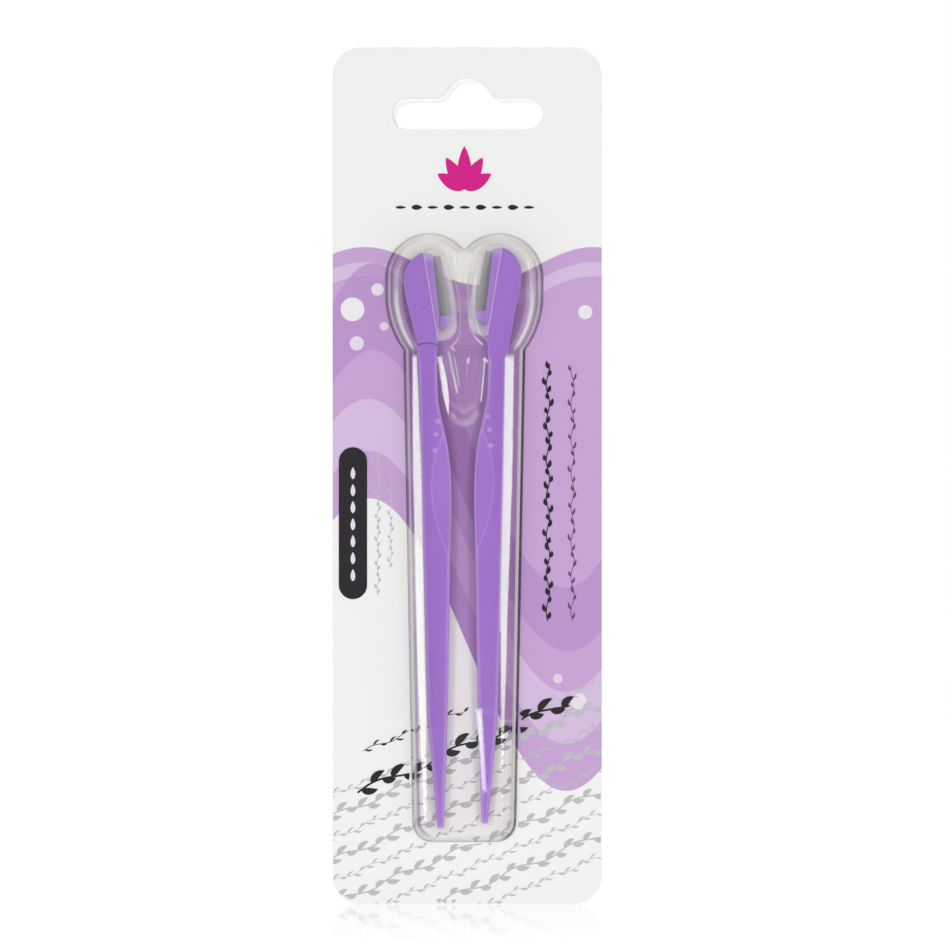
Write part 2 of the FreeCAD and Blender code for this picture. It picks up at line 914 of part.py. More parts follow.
os.makedirs("parts", exist_ok=True)
for thing in pieces:
    box = thing.Shape.optimalBoundingBox()
    print(thing.Label, "%.1f" % thing.Shape.Volume, box)
    thing.Shape.exportStep("parts/%s.step" % thing.Label)
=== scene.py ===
import math

import bpy
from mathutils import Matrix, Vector
from mathutils.geometry import delaunay_2d_cdt


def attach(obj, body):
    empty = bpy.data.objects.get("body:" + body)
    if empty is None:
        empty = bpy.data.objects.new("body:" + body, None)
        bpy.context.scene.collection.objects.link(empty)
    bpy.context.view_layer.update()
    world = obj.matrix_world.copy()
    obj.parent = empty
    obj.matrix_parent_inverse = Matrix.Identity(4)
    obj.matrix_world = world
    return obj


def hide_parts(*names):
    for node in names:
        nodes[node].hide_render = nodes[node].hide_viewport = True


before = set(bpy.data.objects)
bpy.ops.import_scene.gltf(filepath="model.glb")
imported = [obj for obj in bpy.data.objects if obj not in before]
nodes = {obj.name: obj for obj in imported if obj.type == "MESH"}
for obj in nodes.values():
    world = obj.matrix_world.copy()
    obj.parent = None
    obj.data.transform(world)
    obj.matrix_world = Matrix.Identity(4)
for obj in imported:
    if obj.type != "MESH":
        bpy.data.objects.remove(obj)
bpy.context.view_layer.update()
mm = 0.001


def linear(red, green, blue):
    # screen colour, 0 to 255, as the linear value that a shader wants
    shades = []
    for value in (red, green, blue):
        share = value / 255
        shades.append(share / 12.92 if share <= 0.04045 else ((share + 0.055) / 1.055) ** 2.4)
    return (*shades, 1.0)


class Nodes:
    # the nodes of one material or of the world
    def __init__(self, owner, output):
        owner.use_nodes = True
        self.owner = owner
        self.tree = owner.node_tree
        self.tree.nodes.clear()
        self.output = self.tree.nodes.new("ShaderNodeOutput" + output)

    def add(self, kind, **inputs):
        node = self.tree.nodes.new("ShaderNode" + kind)
        for key, value in inputs.items():
            self.feed(node, key.replace("_", " "), value)
        return node

    def feed(self, node, key, value):
        if isinstance(value, bpy.types.NodeSocket):
            self.tree.links.new(value, node.inputs[key])
        else:
            node.inputs[key].default_value = value

    def math(self, operation, first, second=0.0, third=0.0, clamp=False):
        node = self.add("Math")
        node.operation = operation
        node.use_clamp = clamp
        for index, value in enumerate((first, second, third)):
            self.feed(node, index, value)
        return node.outputs[0]

    def vector(self, operation, first, second=(0, 0, 0)):
        node = self.add("VectorMath")
        node.operation = operation
        self.feed(node, 0, first)
        self.feed(node, 1, second)
        return node

    def mix(self, share, first, second):
        node = self.add("Mix")
        node.data_type = "RGBA"
        for index, value in ((0, share), (6, first), (7, second)):
            self.feed(node, index, value)
        return node.outputs[2]

    def ramp(self, value, low, high, start=0.0, end=1.0, kind="SMOOTHSTEP"):
        # start where the value is low, end where it is high, and a soft S between them
        limits = {"From_Min": low, "From_Max": high, "To_Min": start, "To_Max": end}
        node = self.add("MapRange", Value=value, **limits)
        node.interpolation_type = kind
        return node.outputs[0]

    def blend(self, share, first, second):
        node = self.add("MixShader", Fac=share)
        self.feed(node, 1, first)
        self.feed(node, 2, second)
        return node.outputs[0]

    def noise(self, place, scale, detail=2.0):
        return self.add("TexNoise", Vector=place, Scale=scale, Detail=detail).outputs[0]

    def reading(self, key):
        node = self.add("Attribute")
        node.attribute_name = key
        return node.outputs[2]

    def place(self):
        # where the shaded point is on the resting piece, in millimetres
        place = self.add("TexCoord").outputs["Object"]
        return self.vector("MULTIPLY", place, (1000, 1000, 1000)).outputs[0]

    def axes(self, vector):
        return self.add("SeparateXYZ", Vector=vector).outputs[:]

    def normal(self):
        return self.add("NewGeometry").outputs["Normal"]

    def bump(self, height, strength, distance):
        return self.add("Bump", Height=height, Strength=strength, Distance=distance).outputs[0]

    def finish(self, shader):
        self.tree.links.new(shader, self.output.inputs["Surface"])
        return self.owner


def newMaterial(name):
    return Nodes(bpy.data.materials.new(name), "Material")


def coat(name, material):
    slots = nodes[name].data.materials
    slots.clear()
    slots.append(material)


# the printed card: waves of lilac with a few soft dots, in millimetres on the card's X and Z
cardLooks = {
    "front": {
        "paper": linear(237, 237, 236),
        "mid": linear(194, 158, 207),
        "light": linear(208, 184, 219),
        "deep": linear(178, 138, 198),
    },
    # painted shade: the lilac behind the blister is painted darker, for the shade of the film and
    # the handles, and its paper a little lighter, as painted light making up for light lost in the
    # film
    "inWindow": {  # the board behind the blister
        "paper": linear(241, 240, 237),
        "mid": linear(170, 127, 189),
        "light": linear(182, 144, 196),
        "deep": linear(150, 100, 170),
    },
    "upperEdge": {"level": -39.8, "height": 4.0, "pace": 0.13, "shift": -1.9},
    "lowerEdge": {"level": -120.0, "height": -31.0, "pace": 0.075, "shift": 0.0},
    "fieldBlur": 0.06,
    # ribbons, from and to how far above the lower edge, and below the upper one
    "lightRibbon": (10.0, 21.0),
    "deepRibbon": (34.0, 48.0),
    "topRibbon": (3.2, 6.2),
    "ribbonBlur": 0.1,
    "sway": {"paceX": 0.04, "paceZ": 0.05, "size": 5.0},  # of the deep ribbon
    "deepShare": 0.8,
    # x, level, radius and strength
    "dots": [
        (-24.3, -49.0, 2.5, 0.9), (-19.0, -44.8, 1.3, 0.75), (-23.4, -56.2, 1.5, 0.7),
        (-17.6, -52.6, 0.9, 0.6), (23.6, -132.0, 1.7, 0.6), (19.2, -127.2, 1.0, 0.55),
        (25.0, -49.6, 1.5, 0.8),
    ],
    "dot": linear(237, 237, 236),
    "grain": linear(205, 196, 200),
    "grainShare": 0.05,
    "board": linear(222, 220, 214),
    "fibre": linear(206, 203, 196),
    "specular": 0.3,
}


def wavyEdge(build, x, edge):
    wave = build.math("SINE", build.math("MULTIPLY_ADD", x, edge["pace"], edge["shift"]))
    return build.math("MULTIPLY_ADD", wave, edge["height"], edge["level"])


def ribbon(build, value, ends):
    (low, high), blur = ends, cardLooks["ribbonBlur"]
    start = build.ramp(value, low - blur, low + blur)
    return build.math("MULTIPLY", start, build.ramp(value, high + blur, high - blur))


def dotDisc(build, x, z, dotX, dotZ, radius, share):
    awayX = build.math("POWER", build.math("SUBTRACT", x, dotX), 2.0)
    awayZ = build.math("POWER", build.math("SUBTRACT", z, dotZ), 2.0)
    away = build.math("SQRT", build.math("ADD", awayX, awayZ))
    blur = cardLooks["fieldBlur"]
    return build.math("MULTIPLY", build.ramp(away, radius + blur, radius - blur), share)


def printedPaper(name, colours):
    looks = cardLooks
    build = newMaterial(name)
    place = build.place()
    x, _, z = build.axes(place)
    blur, sway = looks["fieldBlur"], looks["sway"]
    below = build.math("SUBTRACT", wavyEdge(build, x, looks["upperEdge"]), z)
    above = build.math("SUBTRACT", z, wavyEdge(build, x, looks["lowerEdge"]))
    field = build.math("MULTIPLY", build.ramp(below, -blur, blur), build.ramp(above, -blur, blur))
    # lighter and deeper ribbons that follow the lower edge, and a thin one along the top
    lowRibbon = ribbon(build, above, looks["lightRibbon"])
    topRibbon = ribbon(build, below, looks["topRibbon"])
    swing = build.math("MULTIPLY_ADD", z, sway["paceZ"], build.math("MULTIPLY", x, sway["paceX"]))
    drift = build.math("MULTIPLY_ADD", build.math("SINE", swing), sway["size"], above)
    deepRibbon = ribbon(build, drift, looks["deepRibbon"])
    pale = build.math("MULTIPLY", build.math("MAXIMUM", lowRibbon, topRibbon), field)
    deep = build.math("MULTIPLY", deepRibbon, build.math("MULTIPLY", field, looks["deepShare"]))
    colour = build.mix(field, colours["paper"], colours["mid"])
    colour = build.mix(pale, colour, colours["light"])
    colour = build.mix(deep, colour, colours["deep"])
    for dot in looks["dots"]:
        colour = build.mix(dotDisc(build, x, z, *dot), colour, looks["dot"])
    # print grain, and the bare core where the board is cut
    grain = build.noise(place, 6.0, 4.0)
    colour = build.mix(build.math("MULTIPLY", grain, looks["grainShare"]), colour, looks["grain"])
    printed = build.ramp(build.axes(build.normal())[1], -0.5, -0.9)
    core = build.mix(build.noise(place, 2.2, 5.0), looks["board"], looks["fibre"])
    shader = build.add(
        "BsdfPrincipled",
        Base_Color=build.mix(printed, core, colour),
        Roughness=build.ramp(grain, 0.3, 0.7, 0.42, 0.5),
        Normal=build.bump(build.noise(place, 3.5, 5.0), 0.05, 0.0002),
        Specular_IOR_Level=looks["specular"],
    )
    return build.finish(shader.outputs[0])


coat("card_front", printedPaper("printedFront", cardLooks["front"]))
coat("card_back", printedPaper("printedBehind", cardLooks["inWindow"]))
print("card printed")


# the outline of the blister's foot, in millimetres
footSizes = {
    "middle": -0.6,
    "lobeRadius": 9.2,
    "lobeAside": 7.4,
    "lobeLevel": -42.2,
    "lobeFlat": 1.9,
    "shoulderLevel": -46.0,
    "notchBlend": 1.0,
    "waistHalf": 12.8,
    "waistLevel": -57.6,
    "footHalf": 10.9,
    "footLevel": -161.7,
    "footCorner": 4.2,
    "flankRadius": 19.6,
}


def sweep(centreX, centreZ, radius, start, end, count):
    points = []
    for step in range(count):
        angle = math.radians(start + (end - start) * step / count)
        points.append((centreX + radius * math.cos(angle), centreZ + radius * math.sin(angle)))
    return points


def stretch(startX, startZ, runX, runZ, count):
    shares = [step / count for step in range(count)]
    return [(startX + runX * share, startZ + runZ * share) for share in shares]


def footOutline(inset):
    # the right half, from the bottom middle up to the notch, then mirrored; each stretch ends with
    # the number of its points
    size = footSizes
    corner = size["footCorner"] - inset / 2
    foot = size["footHalf"] - inset
    low = size["footLevel"] + inset + corner
    widening = size["waistHalf"] - size["footHalf"]
    reach = size["lobeAside"] + size["lobeRadius"] - inset
    drop = math.asin((size["shoulderLevel"] - size["waistLevel"]) / size["flankRadius"])
    flankX = reach - size["flankRadius"]
    rise = math.sqrt((size["lobeRadius"] + size["notchBlend"]) ** 2 - size["lobeAside"] ** 2)
    turn = math.degrees(math.atan2(rise, -size["lobeAside"]))
    notch = size["lobeLevel"] + rise
    half = stretch(0, low - corner, foot - corner, 0, 10)
    half += sweep(foot - corner, low, corner, -90, 0, 10)
    half += stretch(foot, low, widening, size["waistLevel"] - low, 110)
    half += sweep(flankX, size["shoulderLevel"], size["flankRadius"], -math.degrees(drop), 0, 20)
    half += [(reach, size["shoulderLevel"]), (reach, size["shoulderLevel"] + size["lobeFlat"])]
    half += sweep(size["lobeAside"], size["lobeLevel"], size["lobeRadius"] - inset, 0, turn, 44)
    half += sweep(0, notch, size["notchBlend"] + inset, turn - 180, -90, 6)
    half.append((0, notch - size["notchBlend"] - inset))
    mirrored = [(-x, z) for x, z in half[-2:0:-1]]
    return [(x + size["middle"], z) for x, z in half + mirrored]


def between(value, points):
    # straight-line table lookup, from (level, reading) pairs that fall in level
    if value >= points[0][0]:
        return points[0][1]
    for (highLevel, high), (lowLevel, low) in zip(points, points[1:]):
        if value >= lowLevel:
            return high + (low - high) * (highLevel - value) / (highLevel - lowLevel)
    return points[-1][1]


def smooth(value, low, high):
    share = min(max((value - low) / (high - low), 0.0), 1.0)
    return share * share * (3 - 2 * share)


def softMin(first, second, blend):
    share = max(blend - abs(first - second), 0.0) / blend
    return min(first, second) - share * share * blend / 4


# the clear blister: walls, a valley between the lobes, a sunk wedge between the necks, and slanted
# bands beside the handles; pairs are (level, x) unless a note says otherwise
blisterLooks = {
    "height": 7.6,
    "film": 0.3,
    "lip": 0.52,
    "lobeDraft": 15.5,
    "leftDraft": 10.5,
    "rightDraft": 14.0,
    "lobeBlend": 1.6,
    "wallBlend": 0.9,
    "bandTilt": 13.0,
    "channelTop": -59.1,
    "channelFoot": -157.5,
    # each band: between which levels it looks white, how white, as (level, white), where the lines
    # that keep it crisp start and end and in how many steps, and its edges; the white is a painted
    # reflection of the side softboxes, over a real slant that reflects them too
    "bands": {
        "right": {
            "reach": (-157.5, -59.1),
            "white": [(-120.0, 1.0), (-131.0, 0.7), (-139.0, 0.12), (-157.0, 0.0)],
            "line": (-59.3, -157.1, 162),
            "inner": [(-59.1, 8.0), (-85.2, 7.6), (-110.6, 6.95), (-127.4, 7.05), (-151.0, 7.0)],
            "outer": [(-59.1, 9.9), (-85.2, 9.5), (-110.6, 8.65), (-127.4, 8.2), (-151.0, 7.6)],
        },
        "left": {
            "reach": (-157.5, -59.1),
            "white": [(-134.0, 1.0), (-147.0, 0.4), (-157.0, 0.25)],
            "line": (-59.3, -157.1, 162),
            "inner": [(-59.1, -10.55), (-85.2, -9.55), (-117.0, -8.95), (-136.0, -8.5)],
            "outer": [
                (-59.1, -11.49), (-85.2, -11.49), (-117.0, -10.64), (-131.8, -10.21), (-157.0, -9.2)
            ],
        },
        "wedge": {
            "reach": (-71.4, -59.1),
            "white": [(-59.1, 1.0)],
            "line": (-59.3, -71.4, 20),
            "inner": [(-59.1, -6.25), (-64.0, -5.55), (-68.2, -4.9), (-71.4, -4.0)],
            "outer": [(-59.1, -5.3), (-64.0, -4.2), (-68.2, -3.75), (-71.4, -3.8)],
        },
        "tail": {
            "reach": (-151.0, -133.3),
            "white": [(-134.0, 1.0), (-147.0, 0.4), (-157.0, 0.25)],
            "line": (-132.6, -151.4, 31),
            "inner": [(-133.3, 1.86), (-150.9, 3.14)],
            "outer": [(-133.3, 3.14), (-150.9, 4.3)],
        },
    },
    "tailRise": 3.0,
    "tailFoot": (-151.3, -150.5),
    "tailTop": (-133.1, -133.6),
    "tailSlant": 0.25,
    "valleyLeft": [
        (-39.0, -3.2), (-42.8, -2.16), (-47.0, -1.42), (-51.3, -1.1), (-55.5, -1.31), (-58.5, -2.6)
    ],
    "valleyRight": [
        (-39.0, 0.59), (-42.8, 0.06), (-47.0, -0.04), (-51.3, 0.17), (-54.5, 1.0), (-58.5, 2.2)
    ],
    "valleyDepth": 3.4,
    "valleyFoot": (-59.4, -58.6),
    "sinkHalf": [(-58.0, 3.3), (-68.0, 1.5), (-73.4, 1.25), (-74.6, 0.6), (-75.2, 0.1)],
    "sinkDepth": 5.2,
    "sinkTop": (-57.2, -59.0),
    "sinkFoot": (-75.6, -73.6),
    "sinkRise": (-65.0, -72.0),
    "sinkLoss": 0.75,  # share of its depth that it loses on that rise
    "shoulder": (-58.5, -55.5),
    # the mesh: distances in from the outline of its rings, then the grid inside them, which is
    # finer in the folded part; that has a foot, a top and a half width
    "rings": [
        -0.14, -0.12, 0, 0.15, 0.28, 0.42, 0.5, 0.62, 0.72, 0.85, 0.95,
        1.08, 1.22, 1.38, 1.55, 1.75, 1.95, 2.2, 2.5, 2.9, 3.4,
    ],
    "gridInset": 3.7,
    "gridFoot": -160.5,
    "gridTall": 130,
    "grid": 0.36,
    "fineGrid": 0.15,
    "folded": (-76.0, -38.5, 4.4),
    "lineNudge": 0.02,
    "flange": [(-20.1, -165.2), (20.1, -165.2), (20.1, -29.5), (-20.1, -29.5)],
}


def bandEdges(band, z):
    return between(z, band["inner"]), between(z, band["outer"])


def bandDrop(band, x, z):
    # a band slants down from its inner edge to its outer one
    inner, outer = bandEdges(band, z)
    side = 1 if outer > inner else -1
    return min(max(side * (x - inner), 0.0), abs(outer - inner))


def bandHighlight(x, z):
    # painted reflection of the softboxes on the slanted bands
    for band in blisterLooks["bands"].values():
        foot, top = band["reach"]
        edges = bandEdges(band, z)
        if foot < z < top and min(edges) < x < max(edges):
            return between(z, band["white"])
    return 0.0


def tailDrop(x, z):
    # the short band over the tail of the right handle, which levels out again beside it
    looks = blisterLooks
    band, rise = looks["bands"]["tail"], looks["tailRise"]
    inner, outer = bandEdges(band, z)
    back = min(max(x - outer, 0.0), rise) * (outer - inner) / rise
    ends = smooth(z + looks["tailSlant"] * (x - inner), *looks["tailTop"])
    return (bandDrop(band, x, z) - back) * ends * smooth(z, *looks["tailFoot"])


def frontLevel(x, z):
    # how high the film's front stands over the card
    looks = blisterLooks
    bands = looks["bands"]
    drop = bandDrop(bands["left"], x, z) + bandDrop(bands["right"], x, z) + tailDrop(x, z)
    if x < 0:
        foot = bands["wedge"]["reach"][0]
        drop += bandDrop(bands["wedge"], x, z) * smooth(z, foot - 0.3, foot + 0.3)
    channel = smooth(z, looks["channelTop"] + 0.15, looks["channelTop"] - 0.15)
    channel *= smooth(z, looks["channelFoot"] - 0.4, looks["channelFoot"] + 0.4)
    level = looks["height"] - drop * math.tan(math.radians(looks["bandTilt"])) * channel
    if z > looks["valleyFoot"][0]:
        left, right = between(z, looks["valleyLeft"]), between(z, looks["valleyRight"])
        inside = smooth(x, left - 0.5, left + 0.3) * smooth(x, right + 0.5, right - 0.3)
        level -= looks["valleyDepth"] * inside * smooth(z, *looks["valleyFoot"])
    if looks["sinkFoot"][0] < z < looks["sinkTop"][0]:
        half = between(z, looks["sinkHalf"])
        depth = looks["sinkDepth"] * smooth(z, *looks["sinkTop"]) * smooth(z, *looks["sinkFoot"])
        depth *= 1 - looks["sinkLoss"] * smooth(z, *looks["sinkRise"])
        level -= depth * smooth(abs(x - footSizes["middle"]), half + 0.75, half - 0.15)
    return level


def makeMesh(name, points, faces, smoothShade=True):
    mesh = bpy.data.meshes.new(name)
    mesh.from_pydata([(x * mm, y * mm, z * mm) for x, y, z in points], [], faces)
    mesh.update()
    if smoothShade:
        mesh.polygons.foreach_set("use_smooth", [True] * len(mesh.polygons))
    piece = bpy.data.objects.new(name, mesh)
    bpy.context.scene.collection.objects.link(piece)
    return piece


def thicken(piece, wall):
    shell = piece.modifiers.new("thickness", "SOLIDIFY")
    shell.thickness = wall * mm
    shell.offset = -1


def clearPlastic(name, looks):
    # thin clear plastic: light goes straight through, greys where it is seen edge-on, and glints;
    # each point carries readings of painted shade, painted highlight and painted purple shade
    build = newMaterial(name)
    place = build.place()
    level = build.axes(place)[2]
    facing = build.add("LayerWeight", Blend=0.5).outputs["Facing"]
    shadowRay = build.add("LightPath").outputs["Is Shadow Ray"]
    edgeOn = build.math("POWER", facing, looks["edgePower"])
    tint = build.mix(edgeOn, looks["tint"], looks["edgeTint"])
    # painted shade: darker where the dark reading is high, along the foot and on the lobes' flanks
    tint = build.mix(build.reading("dark"), tint, looks["darkTint"])
    # painted shade: a purple shade down the left wall, where that reading is high
    tint = build.mix(build.reading("stain"), tint, looks["stainTint"])
    tint = build.mix(shadowRay, tint, looks["shadeTint"])
    through = build.add("BsdfTransparent", Color=tint).outputs[0]
    # the film leans back a little towards its foot, which keeps the glints long
    dent = build.bump(build.noise(place, looks["rippleScale"], 1.0), looks["ripple"], 0.001)
    lean = build.ramp(level, -100.0, -160.0, 0.0, looks["lean"])
    leaning = build.vector("ADD", dent, build.add("CombineXYZ", Z=lean).outputs[0]).outputs[0]
    glint = build.add("BsdfGlossy", Roughness=looks["rough"], Normal=leaning).outputs[0]
    # the haze, which also carries the painted highlights, takes light from the front, whichever
    # way the wall leans
    forward = build.vector("ADD", build.normal(), (0, -1.5, 0)).outputs[0]
    forward = build.vector("NORMALIZE", forward).outputs[0]
    haze = build.add("BsdfDiffuse", Color=looks["hazeColour"], Normal=forward).outputs[0]
    speckle = build.ramp(build.noise(place, 3.0, 3.0), 0.3, 0.7, 0.95, 1.05)
    inShade = build.ramp(shadowRay, 0.0, 1.0, 1.0, looks["hazeShade"])
    # a little milky haze everywhere, plus painted highlight where the white reading is high
    cloud = build.math("MULTIPLY_ADD", build.reading("white"), looks["whiteness"], looks["haze"])
    cloud = build.math("MULTIPLY", cloud, speckle, clamp=True)
    body = build.blend(build.math("MULTIPLY", cloud, inShade), through, haze)
    grazing = build.math("POWER", facing, 5.0)
    share = build.math("MULTIPLY_ADD", grazing, looks["grazing"], looks["gloss"], clamp=True)
    return build.finish(build.blend(build.math("MULTIPLY", share, inShade), body, glint))


def readings(piece, **columns):
    for key, values in columns.items():
        piece.data.attributes.new(key, "FLOAT", "POINT").data.foreach_set("value", values)


filmLooks = {
    "tint": (0.99, 0.988, 0.984, 1),
    "edgeTint": (0.95, 0.94, 0.935, 1),
    "edgePower": 7.0,
    "darkTint": (0.4, 0.36, 0.36, 1),
    "stainTint": (0.63, 0.53, 0.72, 1),
    "shadeTint": (0.98, 0.98, 0.975, 1),
    "rough": 0.03,
    "lean": 0.055,
    "ripple": 0.02,
    "rippleScale": 0.3,
    "haze": 0.006,
    "hazeShade": 0.15,
    "whiteness": 0.35,
    "hazeColour": (0.9, 0.9, 0.88, 1),
    "gloss": 0.022,
    "grazing": 0.07,
}
# how the foot of the blister looks, by distance in from its outline: painted shade in dark lines,
# painted highlights in a white line, on the dome and in streaks, and a band of painted purple shade
filmEdge = {
    "dark": [(0.0, 1.0), (0.28, 1.0), (0.42, 0.0)],
    "secondDark": [(0.95, 0.0), (1.08, 1.0), (1.22, 1.0), (1.38, 0.0)],
    "white": [(0.42, 0.0), (0.5, 1.0), (0.85, 1.0), (0.95, 0.0)],
    "dome": [
        (0.0, 0.0), (0.5, 0.5), (0.9, 0.5), (1.08, 0.0), (1.38, 0.0),
        (1.55, 1.0), (2.2, 1.0), (2.9, 0.3), (9.0, 0.0),
    ],
    "streak": [
        (1.3, 0.0), (1.38, 0.6), (1.55, 0.0), (1.75, 0.0), (1.95, 1.0), (2.2, 1.0), (2.5, 0.0)
    ],
    "stain": [(0.75, 0.0), (0.9, 1.0), (1.4, 1.0), (1.7, 0.0)],
}
# how strong these are: all round, on the flanks of the lobes, down the left wall and down the
# right one
edgeShares = {
    "dark": (0.04, 0.24, 0.22, 0.65),
    "secondDark": (0.0, 0.4, 0.0, 0.0),
    "white": (0.15, 0.45, 1.0, 2.0),
    "dome": 0.7,
    "streak": (0.9, 1.3),  # left and right
    "stain": (0.45, 0.7),  # above and below
}
# between which levels they set in, and for the streaks how far aside
edgeLevels = {
    "lobe": (-58.5, -56.5),
    "dome": (-36.0, -46.0),
    "streakFoot": (-58.0, -55.5),
    "streakTop": (-44.5, -48.0),
    "streakAside": (8.0, 10.0),
    "stain": (-100.0, -130.0),
}


def edgeReadings(inset, x, z, slant):
    # slant is 1 on an upright stretch of the outline and 0 on a level one
    row, levels = {}, edgeLevels
    for key, pairs in filmEdge.items():
        row[key] = between(-inset, [(-far, value) for far, value in pairs])
    aside = abs(x - footSizes["middle"])
    isRight = x >= footSizes["middle"]
    lobe = smooth(z, *levels["lobe"])
    onLobe, onWall = lobe * slant, (1 - lobe) * slant

    def strength(key):
        everywhere, flanks, left, right = edgeShares[key]
        return row[key] * (everywhere + onLobe * flanks + onWall * (right if isRight else left))

    # painted shade along the foot, and a second line of it on the lobes' flanks
    dark = strength("dark") * smooth(inset, -0.14, -0.1) + strength("secondDark")
    # painted highlight on the lobes' domes
    dome = row["dome"] * lobe * edgeShares["dome"] * smooth(z, *levels["dome"])
    # painted highlights: bright streaks round the outer flanks of the lobes
    flank = smooth(z, *levels["streakFoot"]) * smooth(z, *levels["streakTop"])
    flank *= smooth(aside, *levels["streakAside"])
    white = strength("white") + dome + row["streak"] * flank * edgeShares["streak"][isRight]
    # painted shade: purple down the left wall, stronger towards the foot
    above, below = edgeShares["stain"]
    stained = above + (below - above) * smooth(z, *levels["stain"])
    stain = 0.0 if isRight else row["stain"] * onWall * stained
    return min(dark, 1.0), min(white, 2.0), min(stain, 1.0)


# painted highlights, as bright lines where the film would fold, inside the outline: half width,
# strength, then where each runs
foldHighlights = [
    (0.26, 1.1, [(-3.86, -58.3), (-3.1, -62.0), (-2.06, -66.5)]),
    (0.2, 0.6, [(-2.8, -58.7), (-1.63, -65.3)]),
    (0.22, 1.1, [(3.77, -59.5), (3.3, -64.5), (2.92, -68.4)]),
    (0.34, 1.4, [(0.38, -59.2), (0.17, -60.3)]),
    (0.36, 1.4, [(3.5, -59.8), (4.3, -60.1)]),
    (0.3, 0.8, [(-3.3, -57.4), (-2.5, -57.9)]),
    (0.24, 0.9, [
        (0.8, -40.2), (0.2, -43.0), (0.05, -47.0), (0.3, -51.3), (1.2, -54.6), (3.2, -56.6)
    ]),
    (0.22, 0.6, [(-2.4, -43.0), (-1.6, -47.0), (-1.3, -51.3), (-1.5, -55.0), (-3.4, -57.2)]),
    (0.2, 0.5, [(1.9, -42.0), (1.4, -46.0), (1.5, -50.5), (2.6, -54.2), (4.4, -55.8)]),
    (1.1, 0.24, [(-2.6, -69.2), (-1.8, -70.2), (-0.8, -70.5), (0.4, -70.1), (1.2, -69.2)]),
    (1.2, 0.32, [(-2.9, -71.6), (-2.2, -72.7), (-0.8, -73.3), (0.8, -72.7), (1.8, -71.2)]),
]
# share of the half width that is fully bright, from which half width there is none, and the
# distance between the points along a fold
foldLooks = {"core": 0.35, "softFrom": 0.5, "step": 0.3}


def foldHighlight(x, z):
    white = 0.0
    for half, strength, path in foldHighlights:
        core = foldLooks["core"] * half if half < foldLooks["softFrom"] else 0.0
        for (x1, z1), (x2, z2) in zip(path, path[1:]):
            runX, runZ = x2 - x1, z2 - z1
            along = ((x - x1) * runX + (z - z1) * runZ) / (runX**2 + runZ**2)
            along = min(max(along, 0.0), 1.0)
            away = math.hypot(x - x1 - along * runX, z - z1 - along * runZ)
            white = max(white, strength * smooth(away, half, core))
    return white


class FilmPoints:
    # where each point of the film is on the card, how high, and its readings of painted shade,
    # painted highlight and painted purple shade
    def __init__(self):
        self.flat, self.heights, self.marks, self.edges = [], [], [], []

    def put(self, x, z, level, dark=0.0, white=0.0, stain=0.0):
        self.flat.append((x, z))
        self.heights.append(level)
        self.marks.append((dark, white, stain))

    def joinLast(self, count):
        # a closed line through the last points
        start = len(self.flat) - count
        self.edges += [(start + index, start + (index + 1) % count) for index in range(count)]


def wallLevel(inset, x, z):
    # a low lip outside the outline, then the wall, rounded over into the front
    looks = blisterLooks
    if inset <= looks["rings"][0]:
        return looks["film"]
    if inset <= 0:
        return looks["lip"]
    lobe = smooth(z, *looks["shoulder"])
    draft = looks["leftDraft" if x < footSizes["middle"] else "rightDraft"]
    draft = looks["lobeDraft"] * lobe + draft * (1 - lobe)
    rise = inset / math.tan(math.radians(draft))
    blend = looks["wallBlend"] + (looks["lobeBlend"] - looks["wallBlend"]) * lobe
    return softMin(rise, frontLevel(x, z), blend)


def putRings(film):
    for inset in blisterLooks["rings"]:
        ring = footOutline(inset)
        for index, (x, z) in enumerate(ring):
            (aheadX, aheadZ), (backX, backZ) = ring[(index + 1) % len(ring)], ring[index - 1]
            slant = abs(aheadZ - backZ) / math.hypot(aheadX - backX, aheadZ - backZ)
            dark, white, stain = edgeReadings(inset, x, z, slant)
            film.put(x, z, wallLevel(inset, x, z), dark, max(white, bandHighlight(x, z)), stain)
        film.joinLast(len(ring))


def isFolded(x, z):
    # the steep part between the heads and the necks, which needs finer points
    foot, top, half = blisterLooks["folded"]
    return foot < z < top and abs(x - footSizes["middle"]) < half


def putGrid(film, step, isFine):
    wall = footOutline(blisterLooks["gridInset"])
    for row in range(int(blisterLooks["gridTall"] / step)):
        z = blisterLooks["gridFoot"] + row * step
        crossings = sorted(
            a[0] + (b[0] - a[0]) * (z - a[1]) / (b[1] - a[1])
            for a, b in zip(wall, wall[1:] + wall[:1])
            if (a[1] > z) != (b[1] > z)
        )
        for left, right in zip(crossings[::2], crossings[1::2]):
            count = max(int((right - left) / step), 1)
            for column in range(count + 1):
                x = left + (right - left) * column / count
                if isFolded(x, z) == isFine:
                    white = max(bandHighlight(x, z), foldHighlight(x, z) if isFine else 0.0)
                    film.put(x, z, frontLevel(x, z), white=white)


def putBandLines(film):
    # lines of close points that keep the slanted bands crisp
    looks = blisterLooks
    inward, outward = ("outer", "inner"), ("inner", "outer")
    for name, edges in (("left", inward), ("right", inward), ("tail", outward), ("wedge", outward)):
        band = looks["bands"][name]
        top, foot, count = band["line"]
        for edge in edges:
            for number in range(count + 1):
                z = top + (foot - top) * number / count
                for nudge in (-looks["lineNudge"], looks["lineNudge"]):
                    x = between(z, band[edge]) + nudge
                    film.put(x, z, frontLevel(x, z), white=bandHighlight(x, z))


def putFoldHighlights(film):
    core = foldLooks["core"]
    for half, _, path in foldHighlights:
        for (x1, z1), (x2, z2) in zip(path, path[1:]):
            run = math.hypot(x2 - x1, z2 - z1)
            acrossX, acrossZ = -(z2 - z1) / run, (x2 - x1) / run
            count = max(int(run / foldLooks["step"]), 2)
            for step in range(count + 1):
                onX, onZ = x1 + (x2 - x1) * step / count, z1 + (z2 - z1) * step / count
                for side in (-1, -core, core, 1):
                    x, z = onX + side * half * acrossX, onZ + side * half * acrossZ
                    film.put(x, z, frontLevel(x, z), white=foldHighlight(x, z))


